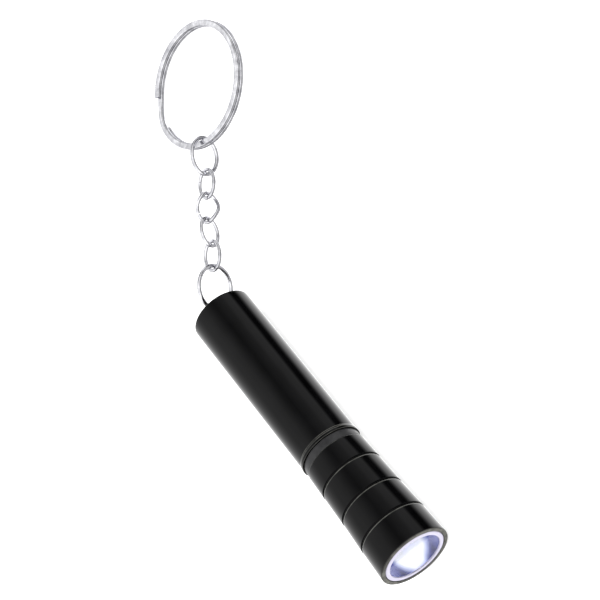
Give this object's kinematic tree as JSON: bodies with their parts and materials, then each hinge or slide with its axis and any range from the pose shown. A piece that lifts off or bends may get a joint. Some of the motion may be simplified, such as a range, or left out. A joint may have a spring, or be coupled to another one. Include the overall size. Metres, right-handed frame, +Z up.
{
  "type": "keychain flashlight",
  "caption": "Slim black twist-head torch with a flared, grooved head and a lit white lamp, on a short bright wire chain ending in a flat split key ring.",
  "frame": {"origin": "under the middle of the whole object, on the surface that it lies on", "axes": "+X forwards along the torch towards its lens, +Z up from the surface that it lies on, +Y to the torch's left, the side that the chain trails to"},
  "size_m": [0.1284, 0.0506, 0.0153],
  "materials": {
    "black_metal": "gloss black",
    "steel": "plain drawn wire",
    "bright_chrome": "bright nickel",
    "seal_rubber": "matte black",
    "neck_plastic": "satin dark grey",
    "cell_wrap": "plain blue sleeve",
    "cell_seal_plastic": "matte",
    "contact_brass": "plain",
    "board_laminate": "solder mask",
    "coil_core": "matte",
    "chip_plastic": "matte",
    "holder_plastic": "matte white",
    "lamp_epoxy": "clear epoxy, lit white",
    "reflector_silver": "vacuum silvered",
    "lens_clear": "clear acrylic"
  },
  "bodies": {
    "torch_body": {"barrel": "black_metal", "tail_plug": "black_metal", "tail_spring": "steel", "seal_ring": "seal_rubber"},
    "neck": {"neck_ring": "neck_plastic"},
    "head": {"head_shell": "black_metal", "ground_ring": "contact_brass", "plus_contact": "contact_brass", "board": "board_laminate", "coil": "coil_core", "driver_chip": "chip_plastic", "lamp_holder": "holder_plastic", "lamp": "lamp_epoxy", "lamp_lead_plus": "steel", "lamp_lead_minus": "steel", "reflector": "reflector_silver", "lens": "lens_clear"},
    "cell": {"cell_can": "cell_wrap", "cell_seal": "cell_seal_plastic", "cell_nub": "steel"},
    "tail_jump_ring": {"tail_jump_ring": "bright_chrome"},
    "link_a": {"link_a": "bright_chrome"},
    "link_b": {"link_b": "bright_chrome"},
    "link_c": {"link_c": "bright_chrome"},
    "link_d": {"link_d": "bright_chrome"},
    "top_jump_ring": {"top_jump_ring": "bright_chrome"},
    "split_ring": {"split_ring": "bright_chrome"}
  },
  "joints": [
    {"name": "head_twist", "type": "hinge", "parent": "torch_body", "child": "neck", "pos_m": [0.03619, -0.01761, 0.00766], "axis": [1, 0, 0], "range_deg": [0, 180]},
    {"name": "head_off", "type": "slide", "parent": "neck", "child": "head", "axis": [1, 0, 0], "range_m": [0, 0.062]},
    {"name": "cell_out", "type": "slide", "parent": "torch_body", "child": "cell", "axis": [1, 0, 0], "range_m": [0, 0.0465]},
    {"name": "tail_ring_swing", "type": "hinge", "parent": "torch_body", "child": "tail_jump_ring", "pos_m": [-0.00884, -0.01796, 0.00766], "axis": [0, 0, 1], "range_deg": [-20, 60]},
    {"name": "link_a_swing", "type": "hinge", "parent": "tail_jump_ring", "child": "link_a", "pos_m": [-0.01552, -0.01162, 0.00766], "axis": [-0.1325, 0.0765, 0.9882], "range_deg": [-30, 30]},
    {"name": "link_b_swing", "type": "hinge", "parent": "link_a", "child": "link_b", "pos_m": [-0.02036, -0.00896, 0.00673], "axis": [0.454, 0.891, 0], "range_deg": [-45, 45]},
    {"name": "link_c_swing", "type": "hinge", "parent": "link_b", "child": "link_c", "pos_m": [-0.02528, -0.00648, 0.00575], "axis": [-0.1547, 0.0788, 0.9848], "range_deg": [-30, 30]},
    {"name": "link_d_swing", "type": "hinge", "parent": "link_c", "child": "link_d", "pos_m": [-0.02964, -0.0031, 0.00473], "axis": [-0.1585, 0.09, 0.9833], "range_deg": [-30, 30]},
    {"name": "top_ring_swing", "type": "hinge", "parent": "link_d", "child": "top_jump_ring", "pos_m": [-0.03446, -0.00043, 0.0037], "axis": [0.5466, 0.7968, 0.2575], "range_deg": [-45, 45]},
    {"name": "key_ring_swing", "type": "hinge", "parent": "top_jump_ring", "child": "split_ring", "pos_m": [-0.04033, 0.0039, 0.003], "axis": [-0.0865, 0.0032, 0.9962], "range_deg": [-30, 45]}
  ],
  "couplings": [
    {"joint": "cell_out", "follows": "head_off", "ratio": 0.75}
  ]
}
